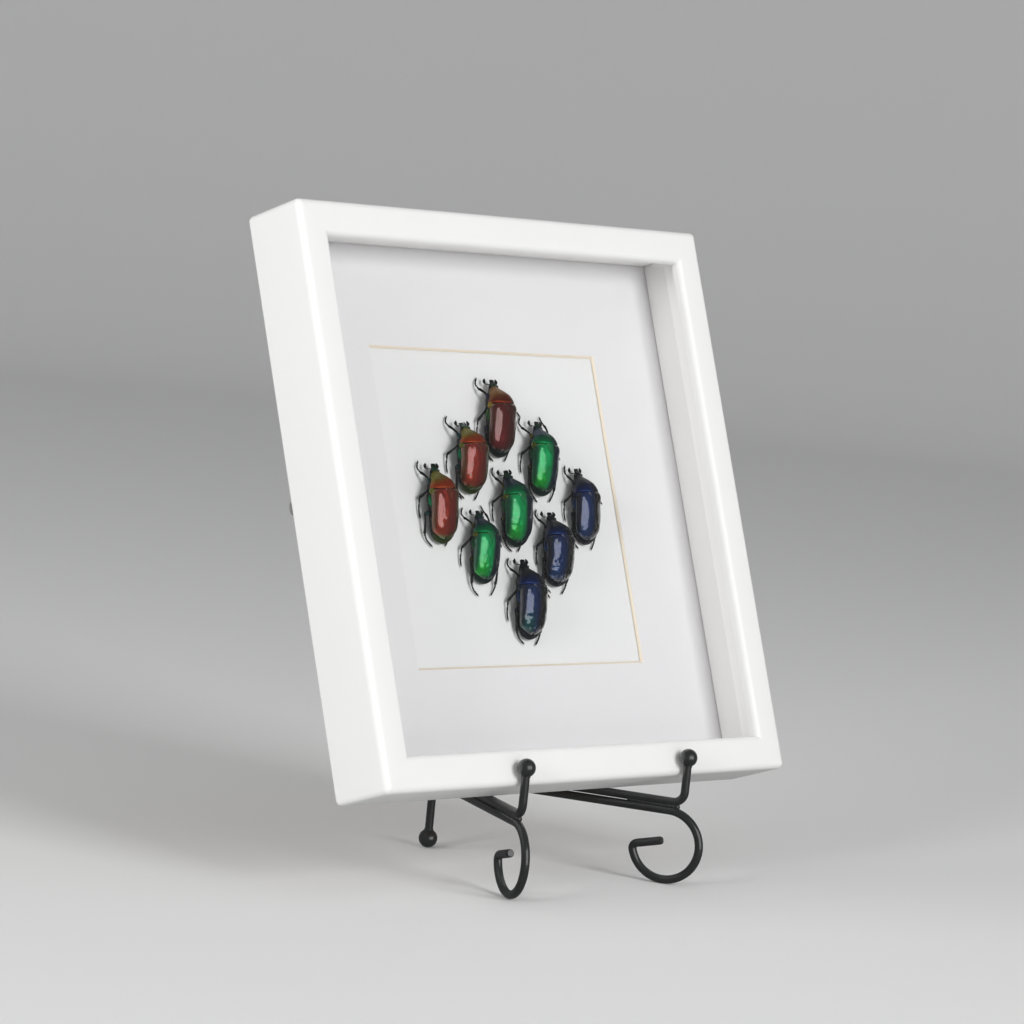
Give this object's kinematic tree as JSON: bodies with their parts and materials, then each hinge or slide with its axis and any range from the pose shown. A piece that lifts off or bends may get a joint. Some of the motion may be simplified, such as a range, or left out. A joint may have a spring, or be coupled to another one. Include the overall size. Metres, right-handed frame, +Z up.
{
  "type": "framed beetle specimen",
  "caption": "Metallic flower beetles on a card behind a square mat window, in a deep white box frame that leans back on a bent-rod easel.",
  "frame": {"origin": "on the surface that the easel stands on, under the middle of the whole object's box", "axes": "+Z up, -Y out of the leaning frame's glass front, +X along the frame to the viewer's right"},
  "size_m": [0.25, 0.1288, 0.2828],
  "materials": {
    "white_paint": "satin",
    "glass": "polished",
    "spacer_card": "matte",
    "mat_board": "matte",
    "card": "matte",
    "board": "matte",
    "steel": "satin",
    "shell_maroon": "gloss",
    "shell_red": "gloss",
    "shell_green": "gloss",
    "shell_blue": "gloss",
    "black_iron": "satin"
  },
  "bodies": {
    "root": {"rail_bottom": "white_paint", "rail_left": "white_paint", "rail_top": "white_paint", "rail_right": "white_paint", "glass_pane": "glass", "spacer_top": "spacer_card", "spacer_bottom": "spacer_card", "spacer_left": "spacer_card", "spacer_right": "spacer_card", "window_mat": "mat_board", "backing_card": "card", "back_board": "board", "turn_button_bottom": "steel", "turn_button_left": "steel", "turn_button_top": "steel", "turn_button_right": "steel", "beetle_maroon_top": "shell_maroon", "beetle_red_upper_left": "shell_red", "beetle_green_upper_right": "shell_green", "beetle_red_left": "shell_red", "beetle_green_centre": "shell_green", "beetle_blue_right": "shell_blue", "beetle_green_lower_left": "shell_green", "beetle_blue_lower_right": "shell_blue", "beetle_blue_bottom": "shell_blue", "scroll_leg_left": "black_iron", "scroll_leg_right": "black_iron", "hook_rod_left": "black_iron", "hook_rod_right": "black_iron", "back_post": "black_iron"}
  },
  "joints": []
}
